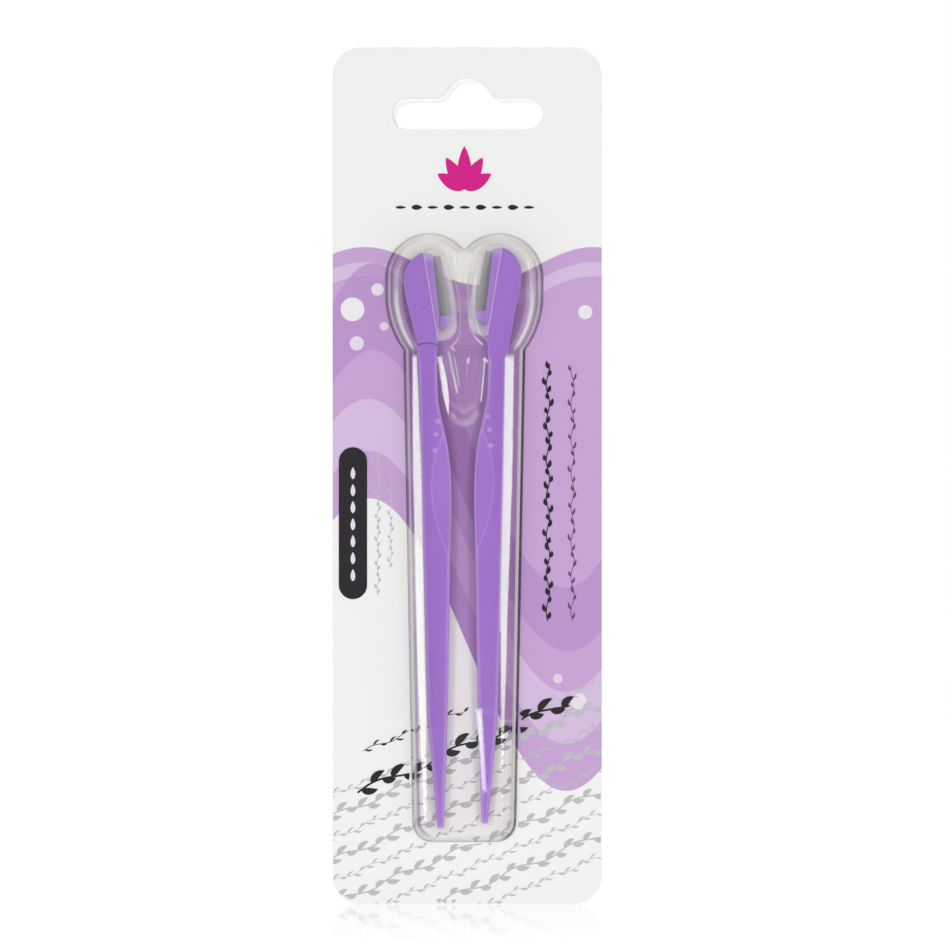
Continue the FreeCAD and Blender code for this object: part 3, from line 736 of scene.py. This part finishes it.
def makeBlister():
    looks = blisterLooks
    film = FilmPoints()
    putRings(film)
    putGrid(film, looks["grid"], False)
    putGrid(film, looks["fineGrid"], True)
    putBandLines(film)
    putFoldHighlights(film)
    for x, z in looks["flange"]:  # flat on the back board
        film.put(x + footSizes["middle"], z, 0.0)
    film.joinLast(len(looks["flange"]))
    flat = [Vector(spot) for spot in film.flat]
    placed, _, faces, origins, _, _ = delaunay_2d_cdt(flat, film.edges, [], 1, 1e-4)
    points, marks = [], []
    for spot, origin in zip(placed, origins):
        level = film.heights[origin[0]] if origin else frontLevel(spot.x, spot.y)
        points.append((spot.x, -max(level, looks["film"]), spot.y))
        marks.append(film.marks[origin[0]] if origin else (0.0, 0.0, 0.0))
    piece = makeMesh("blister", points, [tuple(face) for face in faces])
    dark, white, stain = zip(*marks)
    readings(piece, dark=dark, white=white, stain=stain)
    thicken(piece, looks["film"] * 0.9)
    piece.data.materials.append(clearPlastic("clearFilm", filmLooks))
    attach(piece, "blister_card")
    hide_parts("blister_shell")
    return piece


blister = makeBlister()
print("blister formed", len(blister.data.vertices))


# leaf sprigs, printed on the front ply and, inside the window, on the board behind it
inkColours = {
    "magenta": linear(206, 16, 132),
    "black": linear(33, 30, 35),
    "grape": linear(92, 70, 110),
    "grey": linear(186, 186, 190),
    "pale": linear(226, 214, 232),
}
cardPrint = {
    # ink, start, end, leaf length, leaf width, leaves, stem width
    "sprigs": [
        ("black", (17.1, -115.0), (17.1, -60.2), 2.5, 0.85, 34, 0.2),
        ("grape", (22.3, -115.0), (22.3, -60.8), 2.3, 0.5, 30, 0.14),
        ("grey", (-18.9, -109.6), (-18.9, -79.6), 1.6, 0.5, 24, 0.12),
        ("grey", (-16.2, -104.0), (-16.2, -84.0), 1.6, 0.4, 16, 0.1),
        ("black", (-23.2, -151.4), (21.4, -132.2), 5.6, 1.5, 20, 0.4),
        ("black", (-22.0, -142.6), (0.5, -133.4), 2.6, 0.4, 14, 0.14),
    ],
    # how a stem sways, by the length of its leaves, and how these stand, differ and overlap
    "stem": {"step": 0.5, "sway": 0.14, "wave": 3.2},
    "leaf": {"turn": 0.85, "bend": 0.5, "size": 0.62, "change": 0.1, "pace": 2.3, "ranks": 8},
    # slanted rows down the foot of the card, fine and bold in turn
    "rows": {"count": 9, "level": -152.5, "pitch": 4.6, "half": 30.0, "rise": 25.2},
    "fineRow": (2.6, 0.4, 44, 0.12),
    "boldRow": (4.2, 1.1, 30, 0.3),
    "flower": {"x": -0.6, "level": -23.6, "petals": (6.6, 7.8, 9.2, 7.8, 6.6), "width": 3.0},
    "dashes": {
        "count": 9, "x": -15.2, "pitch": 3.4, "level": -27.4, "length": 2.3, "widths": (0.6, 1.1)
    },
    "bar": {"x": -24.2, "foot": -110.4, "top": -78.2, "half": 3.0},
    "seeds": {"count": 7, "x": -24.2, "level": -106.6, "pitch": 3.6, "length": 2.6, "width": 1.0},
    # outline of the card that the ink keeps to
    "card": {"half": 28.5, "top": 6.5, "foot": -175.0, "corner": 5.9, "margin": 0.05},
    "window": -0.25,
    # level of the first ink, step to the next ink, and step from stroke to stroke
    "onFront": (-0.46, 0.025, 0.0025),
    "onBoard": (-0.004, 0.002, 0.00075),
}
# each stroke: its rank, where a higher one lies on top, its middle line and its half widths
inkStrokes = {ink: [] for ink in inkColours}


def leafStroke(baseX, baseZ, angle, length, width, bend=0.0):
    # a pointed leaf as a middle line and its half widths
    line, halves = [], []
    for step in range(13):
        share = step / 12
        turn, along = angle + bend * share, length * share
        line.append((baseX + along * math.cos(turn), baseZ + along * math.sin(turn)))
        halves.append(width / 2 * math.sin(math.pi * share**0.8) ** 0.8 if 0 < step < 12 else 0.0)
    return line, halves


def barStroke(x, foot, top, half):
    # an upright bar with round ends
    line, halves = [], []
    for step in range(9):
        angle = math.radians(90 * step / 8)
        line.append((x, foot + half - half * math.cos(angle)))
        halves.append(half * math.sin(angle))
    return line + [(x, foot + top - z) for x, z in line[::-1]], halves + halves[::-1]


def printSprig(ink, start, end, leaf, width, count, stem):
    # a swaying stem, and leaves to both sides that lie over it
    stems, leaves = cardPrint["stem"], cardPrint["leaf"]
    runX, runZ = end[0] - start[0], end[1] - start[1]
    length, angle = math.hypot(runX, runZ), math.atan2(runZ, runX)
    line = []
    for step in range(int(length / stems["step"]) + 1):
        along = min(step * stems["step"], length)
        sway = stems["sway"] * leaf * math.sin(along * math.tau / (leaf * stems["wave"]))
        x = start[0] + along * math.cos(angle) - sway * math.sin(angle)
        z = start[1] + along * math.sin(angle) + sway * math.cos(angle)
        line.append((x, z))
    inkStrokes[ink].append((0, line, [stem / 2] * len(line)))
    for number in range(count):
        x, z = line[int((number + 0.5) / count * (len(line) - 1))]
        side = 1 if number % 2 else -1
        size = leaf * (leaves["size"] + leaves["change"] * math.sin(number * leaves["pace"]))
        turn, bend = angle + side * leaves["turn"], -side * leaves["bend"]
        stroke = leafStroke(x, z, turn, size, width, bend)
        inkStrokes[ink].append((1 + number % leaves["ranks"], *stroke))


def printEmblems():
    flower, dashes, seeds = cardPrint["flower"], cardPrint["dashes"], cardPrint["seeds"]
    for number, petal in enumerate(flower["petals"]):
        angle = math.radians(150 - number * 30)
        stroke = leafStroke(flower["x"], flower["level"], angle, petal, flower["width"])
        inkStrokes["magenta"].append((number, *stroke))
    for number in range(dashes["count"]):
        x, width = dashes["x"] + number * dashes["pitch"], dashes["widths"][number % 2]
        stroke = leafStroke(x, dashes["level"], 0.0, dashes["length"], width)
        inkStrokes["black"].append((0, *stroke))
    inkStrokes["black"].append((0, *barStroke(**cardPrint["bar"])))
    for number in range(seeds["count"]):
        level = seeds["level"] + number * seeds["pitch"]
        stroke = leafStroke(seeds["x"], level, math.radians(90), seeds["length"], seeds["width"])
        inkStrokes["pale"].append((0, *stroke))


def printRows():
    rows = cardPrint["rows"]
    for row in range(rows["count"]):
        level = rows["level"] - row * rows["pitch"]
        start, end = (-rows["half"], level), (rows["half"], level + rows["rise"])
        printSprig("grey", start, end, *cardPrint["boldRow" if row % 2 else "fineRow"])


printEmblems()
for sprig in cardPrint["sprigs"]:
    printSprig(*sprig)
printRows()


def within(outline, x, z):
    odd = False
    for (x1, z1), (x2, z2) in zip(outline, outline[1:] + outline[:1]):
        if (z1 > z) != (z2 > z) and x < x1 + (x2 - x1) * (z - z1) / (z2 - z1):
            odd = not odd
    return odd


def onCard(x, z):
    card = cardPrint["card"]
    middle, half = (card["top"] + card["foot"]) / 2, (card["top"] - card["foot"]) / 2
    overX = abs(x) - card["half"] + card["corner"]
    overZ = abs(z - middle) - half + card["corner"]
    return math.hypot(max(overX, 0.0), max(overZ, 0.0)) < card["corner"] - card["margin"]


def inkMaterial(ink):
    build = newMaterial("ink_" + ink)
    grain = build.noise(build.place(), 5.0, 4.0)
    red, green, blue, _ = inkColours[ink]
    worn = (red * 0.9 + 0.05, green * 0.9 + 0.05, blue * 0.9 + 0.05, 1)
    rubbed = build.math("MULTIPLY", build.ramp(grain, 0.4, 0.8), 0.25)
    shader = build.add(
        "BsdfPrincipled",
        Base_Color=build.mix(rubbed, inkColours[ink], worn),
        Roughness=build.ramp(grain, 0.3, 0.7, 0.4, 0.5),
        Normal=build.bump(grain, 0.04, 0.0001),
        Specular_IOR_Level=0.2,
    )
    return build.finish(shader.outputs[0])


def strokeSides(line, halves):
    spots = []
    for index, (x, z) in enumerate(line):
        ahead, back = line[min(index + 1, len(line) - 1)], line[max(index - 1, 0)]
        runX, runZ = ahead[0] - back[0], ahead[1] - back[1]
        run = math.hypot(runX, runZ) or 1.0
        acrossX, acrossZ = -runZ / run * halves[index], runX / run * halves[index]
        spots.append(((x + acrossX, z + acrossZ), (x - acrossX, z - acrossZ)))
    return spots


def layInk(ink, order, behind):
    window = footOutline(cardPrint["window"])
    first, inkStep, strokeStep = cardPrint["onBoard" if behind else "onFront"]
    points, faces = [], []
    for rank, line, halves in inkStrokes[ink]:
        level = first - inkStep * order - strokeStep * rank
        spots = strokeSides(line, halves)
        for (left, right), (nextLeft, nextRight) in zip(spots, spots[1:]):
            corners = (left, right, nextRight, nextLeft)
            inside = [within(window, *corner) for corner in corners]
            isShown = all(inside) if behind else not any(inside)
            if isShown and all(onCard(*corner) for corner in corners):
                start = len(points)
                points += [(x, level, z) for x, z in corners]
                faces.append((start, start + 1, start + 2, start + 3))
    if not faces:
        return
    piece = makeMesh("ink_%s_%s" % (ink, "behind" if behind else "front"), points, faces, False)
    piece.data.materials.append(inkMaterial(ink))
    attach(piece, "back_board" if behind else "blister_card")


for order, ink in enumerate(("grey", "grape", "magenta", "black", "pale")):
    layInk(ink, order, False)
    layInk(ink, order, True)
print("sprigs printed")


# purple plastic and blade steel for the razors
plasticLooks = {
    "base": linear(160, 107, 209),
    "deep": linear(157, 104, 207),
    # a paler lilac, painted on rims and edges as a highlight
    "rimSheen": linear(202, 170, 236),
    "bevel": 0.65,
    "rimSheenShare": 0.6,
    "edgeSheenShare": 0.8,
    "headEdge": 0.15,  # share of that on the heads, above the necks
    "neck": (-56.0, -60.0),
}
steelLooks = {
    "dark": linear(118, 118, 127),
    "light": linear(132, 132, 140),
    "pace": 22.0,  # of the grinding lines
    "waver": 6.0,
    "metallic": 0.35,
}


def purplePlastic(name):
    looks = plasticLooks
    build = newMaterial(name)
    place = build.place()
    cloud = build.ramp(build.noise(place, 0.08, 3.0), 0.35, 0.65)
    soft = build.add("Bevel", Radius=looks["bevel"] * mm)
    soft.samples = 6
    # painted highlight: paler where it turns away, and along every edge
    rimSheen = build.add("LayerWeight", Blend=0.5, Normal=soft.outputs[0]).outputs["Facing"]
    turnedSheen = build.ramp(rimSheen, 0.06, 0.24, 0.0, looks["rimSheenShare"])
    alike = build.vector("DOT_PRODUCT", soft.outputs[0], build.normal()).outputs["Value"]
    edge = build.ramp(alike, 0.9995, 0.99, 0.0, looks["edgeSheenShare"])
    onHandle = build.ramp(build.axes(place)[2], *looks["neck"], looks["headEdge"], 1.0)
    pale = build.math("MAXIMUM", build.math("MULTIPLY", edge, onHandle), turnedSheen)
    colour = build.mix(cloud, looks["base"], looks["deep"])
    skin = {"Height": build.noise(place, 2.5), "Strength": 0.01, "Distance": 0.00005}
    shader = build.add(
        "BsdfPrincipled",
        Base_Color=build.mix(pale, colour, looks["rimSheen"]),
        Roughness=build.ramp(build.noise(place, 0.9), 0.3, 0.7, 0.42, 0.47),
        Normal=build.add("Bump", Normal=soft.outputs[0], **skin).outputs[0],
    )
    return build.finish(shader.outputs[0])


def bladeSteel(name):
    looks = steelLooks
    build = newMaterial(name)
    place = build.place()
    waver = build.math("MULTIPLY", build.noise(place, 1.0), looks["waver"])
    lines = build.math("MULTIPLY_ADD", build.axes(place)[2], looks["pace"], waver)
    lines = build.math("SINE", lines)
    shader = build.add(
        "BsdfPrincipled",
        Base_Color=build.mix(build.ramp(lines, -1, 1), looks["dark"], looks["light"]),
        Roughness=build.ramp(lines, -1, 1, 0.42, 0.5),
        Normal=build.bump(lines, 0.05, 0.0001),
        Metallic=looks["metallic"],
    )
    return build.finish(shader.outputs[0])


purple = purplePlastic("purplePlastic")
steel = bladeSteel("bladeSteel")
for hand in ("left", "right"):
    coat("handle_" + hand, purple)
    coat("head_plate_" + hand, purple)
    coat("blade_" + hand, steel)
print("razors coated")


# the clip-on guards: flat pouches with a round rim, open along the head
guardLooks = {
    "tint": (0.995, 0.994, 0.992, 1),
    "edgeTint": (0.93, 0.92, 0.91, 1),
    "edgePower": 8.0,
    "darkTint": (0.8, 0.78, 0.76, 1),
    "stainTint": (0.9, 0.9, 0.9, 1),
    "shadeTint": (0.99, 0.99, 0.99, 1),
    "rough": 0.3,
    "lean": 0.0,
    "ripple": 0.015,
    "rippleScale": 0.5,
    "haze": 0.012,
    "hazeShade": 0.15,
    "whiteness": 0.22,
    "hazeColour": (0.95, 0.92, 0.97, 1),
    "gloss": 0.012,
    "grazing": 0.05,
}
# millimetres from the middle of a guard's straight side, which is aside of and above the neck
guardShape = {
    # which way it points, 1 for right, and where the neck of its razor is
    "necks": {"left": (1, -8.41, -58.5), "right": (-1, 6.53, -57.45)},
    "aside": 1.0,
    "above": 11.74,
    "depth": -1.8,
    "tilt": 9.4,
    "lean": 1.6,
    "top": 10.4,
    "foot": -9.3,
    "corner": 3.4,
    "reach": 4.8,
    "belly": 0.4,
    "wall": 0.3,
    "lip": 0.28,
    # painted highlight along the straight side
    "lipHighlight": 1.1,
    # distance in from the rim, half thickness there, and how white it looks, which is partly the
    # milky plastic and partly a painted highlight along the rim
    "rings": [
        (0.0, 1.1, 0.75), (0.15, 1.3, 0.7), (0.4, 1.46, 0.6), (0.8, 1.59, 0.55),
        (1.3, 1.68, 0.5), (1.9, 1.73, 0.42), (2.4, 1.74, 0.2), (2.9, 1.74, 0.05),
    ],
}
guardPlastic = clearPlastic("guardPlastic", guardLooks)


def guardOutline(inset):
    # from the foot of the straight side, round the curved side, to its top
    shape = guardShape
    top, foot = shape["top"] - inset, shape["foot"] + inset
    corner, far = shape["corner"] - inset, shape["reach"] - inset
    across = shape["reach"] - shape["corner"]
    points = [(0.0, foot), (shape["lip"], foot)]
    points += sweep(across, foot + corner, corner, -90, 0, 12)
    tall = (top - corner) - (foot + corner)
    for step in range(24):
        share = step / 24
        bulge = shape["belly"] * 4 * share * (1 - share)
        points.append((far + bulge, foot + corner + tall * share))
    points += sweep(across, top - corner, corner, 0, 90, 12)
    return points + [(across, top), (shape["lip"], top), (0.0, top)]


def guardPoints(side, neckX, neckZ):
    # the front wall and the back wall, each as rings from the rim inwards
    shape = guardShape
    lean, tilt = math.radians(side * shape["lean"]), math.radians(side * shape["tilt"])
    baseX = neckX + side * shape["aside"] * math.cos(lean) - shape["above"] * math.sin(lean)
    baseZ = neckZ + side * shape["aside"] * math.sin(lean) + shape["above"] * math.cos(lean)
    points, white = [], []
    for front in (-1, 1):
        for inset, half, pale in shape["rings"]:
            outline = guardOutline(inset)
            for index, (x, z) in enumerate(outline):
                x *= side
                turnedX = baseX + x * math.cos(tilt) - z * math.sin(tilt)
                turnedZ = baseZ + x * math.sin(tilt) + z * math.cos(tilt)
                points.append((turnedX, shape["depth"] + front * half, turnedZ))
                isStraight = index in (0, len(outline) - 1)
                straightHighlight = shape["lipHighlight"] if front < 0 else 0.0
                white.append(straightHighlight if isStraight else pale)
    return points, white


def guardFaces(side):
    count, rings = len(guardOutline(0)), len(guardShape["rings"])
    faces = []
    for front, first in ((-1, 0), (1, rings * count)):
        turn = 1 if front * side < 0 else -1
        for ring in range(rings - 1):
            for index in range(count - 1):
                low = first + ring * count + index
                faces.append((low, low + 1, low + count + 1, low + count)[::turn])
        # a narrow lip beside the straight side, then the flat middle
        last = first + (rings - 1) * count
        faces.append((last, last + 1, last + count - 2, last + count - 1)[::turn])
        faces.append(tuple(range(last + 1, last + count - 1))[::turn])
    half = rings * count
    for index in range(count - 1):  # the rim that joins the two walls
        faces.append((index, half + index, half + index + 1, index + 1)[::side])
    return faces


def makeGuard(hand, side, neckX, neckZ):
    points, white = guardPoints(side, neckX, neckZ)
    piece = makeMesh("guard_" + hand, points, guardFaces(side))
    readings(piece, white=white)
    thicken(piece, guardShape["wall"])
    piece.data.materials.append(guardPlastic)
    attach(piece, "guard_" + hand)
    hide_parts("blade_cover_" + hand)


for hand, neck in guardShape["necks"].items():
    makeGuard(hand, *neck)
print("guards clipped on")


# the studio: pale floor, white backdrop, softboxes and a dim room
studio = {
    # azimuth, elevation, width, height, power, and whether it shows in glossy surfaces
    "boxes": [
        (-27.0, 6.6, 0.17, 0.46, 2.3, True),
        (27.0, 6.6, 0.17, 0.46, 2.3, True),
        (0.0, 20.0, 0.8, 0.3, 1.4, False),
    ],
    "away": 1.1,
    "target": (0.0, 0.0, -0.09),
    "room": 0.18,  # light from in front, from behind, and between which depths it changes
    "wall": 1.0,
    "fade": (-0.1, 0.25),
    "floor": (-2000, 2000, -1400, 2600, -175),
    "floorTones": ((0.9, 0.9, 0.9, 1), (0.93, 0.93, 0.93, 1)),
    "reflection": 0.44,
    "reflectionDepth": (-130.0, -5.0),
    "polish": 0.06,
    "glow": 1.13,
    "shadow": 0.2,
}


def makeWorld():
    world = bpy.data.worlds.new("studio")
    bpy.context.scene.world = world
    build = Nodes(world, "World")
    depth = build.axes(build.add("TexCoord").outputs["Generated"])[1]
    light = build.ramp(depth, *studio["fade"], studio["room"], studio["wall"], "LINEAR")
    # shiny and clear pieces show the white backdrop too, where it hangs, behind the pack
    ray = build.add("LightPath").outputs
    mirrored = build.math("MAXIMUM", ray["Is Glossy Ray"], ray["Is Transmission Ray"])
    mirrored = build.math("MULTIPLY", mirrored, build.math("GREATER_THAN", depth, 0.0))
    shown = build.math("MAXIMUM", ray["Is Camera Ray"], mirrored)
    strength = build.math("MAXIMUM", light, shown)
    build.finish(build.add("Background", Color=(1, 1, 1, 1), Strength=strength).outputs[0])


def makeFloor():
    left, right, front, back, level = studio["floor"]
    corners = [(left, front), (right, front), (right, back), (left, back)]
    piece = makeMesh("floor", [(x, y, level) for x, y in corners], [(0, 1, 2, 3)])
    build = newMaterial("paleFloor")
    place = build.place()
    tone = build.mix(build.noise(place, 0.02), *studio["floorTones"])
    ground = build.add("BsdfDiffuse", Color=tone).outputs[0]
    glow = build.add("Emission", Strength=studio["glow"]).outputs[0]
    mirror = build.add("BsdfGlossy", Color=(1, 1, 1, 1), Roughness=studio["polish"]).outputs[0]
    # the pack is mirrored just in front of it, and most where the floor is seen at a low angle
    depth, facing = build.axes(place)[1], build.add("LayerWeight", Blend=0.5).outputs["Facing"]
    near = build.ramp(depth, *studio["reflectionDepth"], 0.0, studio["reflection"])
    near = build.math("MULTIPLY", near, facing)
    shiny = build.blend(near, build.blend(studio["shadow"], glow, ground), mirror)
    # the camera, and anything shiny or clear, sees this; all other rays meet a plain glow, so the
    # floor lights the pack from below like a lamp
    ray = build.add("LightPath").outputs
    seen = build.math("MAXIMUM", ray["Is Glossy Ray"], ray["Is Transmission Ray"])
    seen = build.math("MAXIMUM", ray["Is Camera Ray"], seen)
    piece.data.materials.append(build.finish(build.blend(seen, glow, shiny)))


def makeLights():
    target = Vector(studio["target"])
    for number, (azimuth, rise, wide, tall, power, isMirrored) in enumerate(studio["boxes"]):
        turn, lift = math.radians(azimuth), math.radians(rise)
        flat = math.cos(lift)
        away = Vector((math.sin(turn) * flat, -math.cos(turn) * flat, math.sin(lift)))
        lamp = bpy.data.lights.new("softbox%d" % number, "AREA")
        lamp.shape = "RECTANGLE"
        lamp.size = wide
        lamp.size_y = tall
        lamp.energy = power
        spot = bpy.data.objects.new("softbox%d" % number, lamp)
        spot.location = target + away * studio["away"]
        spot.rotation_euler = (-away).to_track_quat("-Z", "Y").to_euler()
        spot.visible_glossy = isMirrored
        bpy.context.scene.collection.objects.link(spot)


makeWorld()
makeFloor()
makeLights()
print("studio lit")


# the camera: straight in front, on the middle of the photograph
view = {"sensor": 36, "lens": 200, "place": (0.001865, -1.1207, -0.0843)}


def makeCamera():
    camera = bpy.data.cameras.new("camera")
    camera.sensor_width = view["sensor"]
    camera.lens = view["lens"]
    camera.clip_start = 0.01
    camera.clip_end = 50
    eye = bpy.data.objects.new("camera", camera)
    eye.location = view["place"]
    eye.rotation_euler = (math.radians(90), 0, 0)
    bpy.context.scene.collection.objects.link(eye)
    bpy.context.scene.camera = eye


makeCamera()
bpy.context.scene.view_settings.view_transform = "Standard"
# light crosses many thin clear walls here, of the blister and of the guards inside it
bpy.context.scene.cycles.transparent_max_bounces = 32

print("camera placed")
